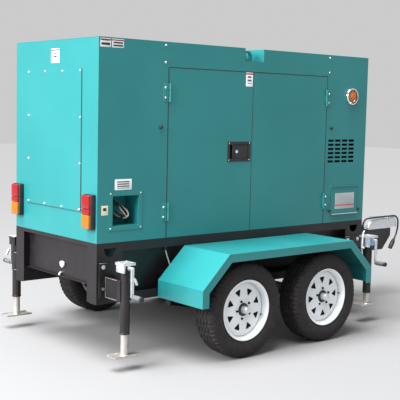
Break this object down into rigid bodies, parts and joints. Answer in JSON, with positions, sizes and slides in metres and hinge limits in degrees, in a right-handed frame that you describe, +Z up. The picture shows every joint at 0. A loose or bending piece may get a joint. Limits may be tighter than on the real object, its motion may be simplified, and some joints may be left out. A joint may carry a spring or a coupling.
{
  "type": "towable diesel generator",
  "caption": "Sound-proofed diesel generator on a tandem-axle trailer with side doors, lifting pockets, fenders, crank-down jacks and a ball-coupler drawbar.",
  "frame": {"origin": "middle of the length and width of the trailer without its towing cable, on the ground under the tyres", "axes": "+X forward along the drawbar, +Y to the trailer's left, +Z up"},
  "size_m": [3.7539, 2, 2.097],
  "materials": {
    "canopy_paint": "semi-gloss powder coat",
    "fender_paint": "semi-gloss powder coat",
    "frame_paint": "satin black paint",
    "zinc": "bright zinc plate",
    "bright_steel": "bright plated tube",
    "rim_paint": "gloss white paint",
    "tyre_rubber": "matte black rubber",
    "black_plastic": "matte black",
    "cable_rubber": "matte black sheath",
    "lamp_lens": "clear red and amber lens",
    "engine_paint": "satin enamel",
    "cast_iron": "painted casting",
    "radiator_metal": "black finned core",
    "muffler_steel": "heat-dulled steel",
    "tank_paint": "satin black paint",
    "panel_paint": "light grey texture"
  },
  "bodies": {
    "trailer": {"base_frame": "frame_paint", "roof_panel": "canopy_paint", "rear_panel": "canopy_paint", "rear_access_panel": "canopy_paint", "front_panel": "canopy_paint", "side_panel_right": "canopy_paint", "side_panel_left": "canopy_paint", "lifting_frame": "frame_paint", "cable_outlet_box": "canopy_paint", "tail_lamp_right": "lamp_lens", "tail_lamp_left": "lamp_lens", "marker_lamp_right": "lamp_lens", "marker_lamp_left": "lamp_lens", "fender_right": "fender_paint", "fender_left": "fender_paint", "axle_rear": "frame_paint", "axle_front": "frame_paint", "jack_body_rear_right": "frame_paint", "jack_body_rear_left": "frame_paint", "jack_body_front_right": "frame_paint", "jack_body_front_left": "frame_paint", "drawbar": "frame_paint", "coupler": "zinc", "towing_cable": "cable_rubber", "towing_plug": "black_plastic", "engine": "engine_paint", "alternator": "cast_iron", "radiator": "radiator_metal", "muffler": "muffler_steel", "fuel_tank": "tank_paint", "battery": "black_plastic", "control_cabinet": "panel_paint"},
    "cooling_fan": {"cooling_fan": "black_plastic"},
    "fuel_flap": {"fuel_flap": "canopy_paint"},
    "coupler_lever": {"coupler_lever": "zinc"},
    "wheel_rear_right": {"rim_rear_right": "rim_paint", "tyre_rear_right": "tyre_rubber"},
    "wheel_front_right": {"rim_front_right": "rim_paint", "tyre_front_right": "tyre_rubber"},
    "door_rear_right": {"door_rear_right": "canopy_paint", "latch_tray_right": "black_plastic"},
    "door_front_right": {"door_front_right": "canopy_paint"},
    "latch_paddle_right": {"latch_paddle_right": "black_plastic"},
    "jack_leg_rear_right": {"jack_leg_rear_right": "bright_steel"},
    "jack_crank_rear_right": {"jack_crank_rear_right": "zinc"},
    "jack_leg_front_right": {"jack_leg_front_right": "bright_steel"},
    "jack_crank_front_right": {"jack_crank_front_right": "zinc"},
    "wheel_rear_left": {"rim_rear_left": "rim_paint", "tyre_rear_left": "tyre_rubber"},
    "wheel_front_left": {"rim_front_left": "rim_paint", "tyre_front_left": "tyre_rubber"},
    "door_rear_left": {"door_rear_left": "canopy_paint", "latch_tray_left": "black_plastic"},
    "door_front_left": {"door_front_left": "canopy_paint"},
    "latch_paddle_left": {"latch_paddle_left": "black_plastic"},
    "jack_leg_rear_left": {"jack_leg_rear_left": "bright_steel"},
    "jack_crank_rear_left": {"jack_crank_rear_left": "zinc"},
    "jack_leg_front_left": {"jack_leg_front_left": "bright_steel"},
    "jack_crank_front_left": {"jack_crank_front_left": "zinc"}
  },
  "joints": [
    {"name": "wheel_rear_right_spin", "type": "hinge", "parent": "trailer", "child": "wheel_rear_right", "pos_m": [-0.888, -0.862, 0.325], "axis": [0, 1, 0], "continuous": true},
    {"name": "wheel_front_right_spin", "type": "hinge", "parent": "trailer", "child": "wheel_front_right", "pos_m": [-0.106, -0.862, 0.325], "axis": [0, 1, 0], "continuous": true},
    {"name": "door_rear_right_swing", "type": "hinge", "parent": "trailer", "child": "door_rear_right", "pos_m": [-1.247, -0.531, 0.792], "axis": [0, 0, -1], "range_deg": [0, 165]},
    {"name": "door_front_right_swing", "type": "hinge", "parent": "trailer", "child": "door_front_right", "pos_m": [0.287, -0.531, 0.792], "axis": [0, 0, 1], "range_deg": [0, 105]},
    {"name": "latch_paddle_right_pull", "type": "hinge", "parent": "door_rear_right", "child": "latch_paddle_right", "pos_m": [-0.53, -0.52, 1.3645], "axis": [0, 0, 1], "range_deg": [0, 35], "stiffness_Nm_per_rad": 0.5},
    {"name": "jack_crank_rear_right_turn", "type": "hinge", "parent": "trailer", "child": "jack_crank_rear_right", "pos_m": [-1.712, -0.74, 0.66], "axis": [0, 1, 0], "range_deg": [-7200, 10017.39]},
    {"name": "jack_leg_rear_right_slide", "type": "slide", "parent": "trailer", "child": "jack_leg_rear_right", "axis": [0, 0, 1], "range_m": [-0.092, 0.128]},
    {"name": "jack_crank_front_right_turn", "type": "hinge", "parent": "trailer", "child": "jack_crank_front_right", "pos_m": [0.647, -0.74, 0.66], "axis": [0, 1, 0], "range_deg": [-10800, 6417.39]},
    {"name": "jack_leg_front_right_slide", "type": "slide", "parent": "trailer", "child": "jack_leg_front_right", "axis": [0, 0, 1], "range_m": [-0.138, 0.082]},
    {"name": "wheel_rear_left_spin", "type": "hinge", "parent": "trailer", "child": "wheel_rear_left", "pos_m": [-0.888, 0.862, 0.325], "axis": [0, 1, 0], "continuous": true},
    {"name": "wheel_front_left_spin", "type": "hinge", "parent": "trailer", "child": "wheel_front_left", "pos_m": [-0.106, 0.862, 0.325], "axis": [0, 1, 0], "continuous": true},
    {"name": "door_rear_left_swing", "type": "hinge", "parent": "trailer", "child": "door_rear_left", "pos_m": [-1.247, 0.531, 0.792], "axis": [0, 0, 1], "range_deg": [0, 165]},
    {"name": "door_front_left_swing", "type": "hinge", "parent": "trailer", "child": "door_front_left", "pos_m": [0.287, 0.531, 0.792], "axis": [0, 0, -1], "range_deg": [0, 165]},
    {"name": "latch_paddle_left_pull", "type": "hinge", "parent": "door_rear_left", "child": "latch_paddle_left", "pos_m": [-0.53, 0.52, 1.3645], "axis": [0, 0, -1], "range_deg": [0, 35], "stiffness_Nm_per_rad": 0.5},
    {"name": "jack_crank_rear_left_turn", "type": "hinge", "parent": "trailer", "child": "jack_crank_rear_left", "pos_m": [-1.712, 0.74, 0.66], "axis": [0, 1, 0], "range_deg": [-7200, 10017.39]},
    {"name": "jack_leg_rear_left_slide", "type": "slide", "parent": "trailer", "child": "jack_leg_rear_left", "axis": [0, 0, 1], "range_m": [-0.092, 0.128]},
    {"name": "jack_crank_front_left_turn", "type": "hinge", "parent": "trailer", "child": "jack_crank_front_left", "pos_m": [0.647, 0.74, 0.66], "axis": [0, 1, 0], "range_deg": [-10800, 6417.39]},
    {"name": "jack_leg_front_left_slide", "type": "slide", "parent": "trailer", "child": "jack_leg_front_left", "axis": [0, 0, 1], "range_m": [-0.138, 0.082]},
    {"name": "cooling_fan_spin", "type": "hinge", "parent": "trailer", "child": "cooling_fan", "pos_m": [0.068, 0, 1.28], "axis": [1, 0, 0], "continuous": true},
    {"name": "fuel_flap_lift", "type": "hinge", "parent": "trailer", "child": "fuel_flap", "pos_m": [0.378, -0.5295, 1.077], "axis": [-1, 0, 0], "range_deg": [0, 110]},
    {"name": "coupler_lever_lift", "type": "hinge", "parent": "trailer", "child": "coupler_lever", "pos_m": [1.708, 0, 0.71], "axis": [0, 1, 0], "range_deg": [0, 60]}
  ],
  "couplings": [
    {"joint": "jack_leg_rear_right_slide", "follows": "jack_crank_rear_right_turn", "m_per_rad": 0.00073211},
    {"joint": "jack_leg_front_right_slide", "follows": "jack_crank_front_right_turn", "m_per_rad": 0.00073211},
    {"joint": "jack_leg_rear_left_slide", "follows": "jack_crank_rear_left_turn", "m_per_rad": 0.00073211},
    {"joint": "jack_leg_front_left_slide", "follows": "jack_crank_front_left_turn", "m_per_rad": 0.00073211}
  ]
}
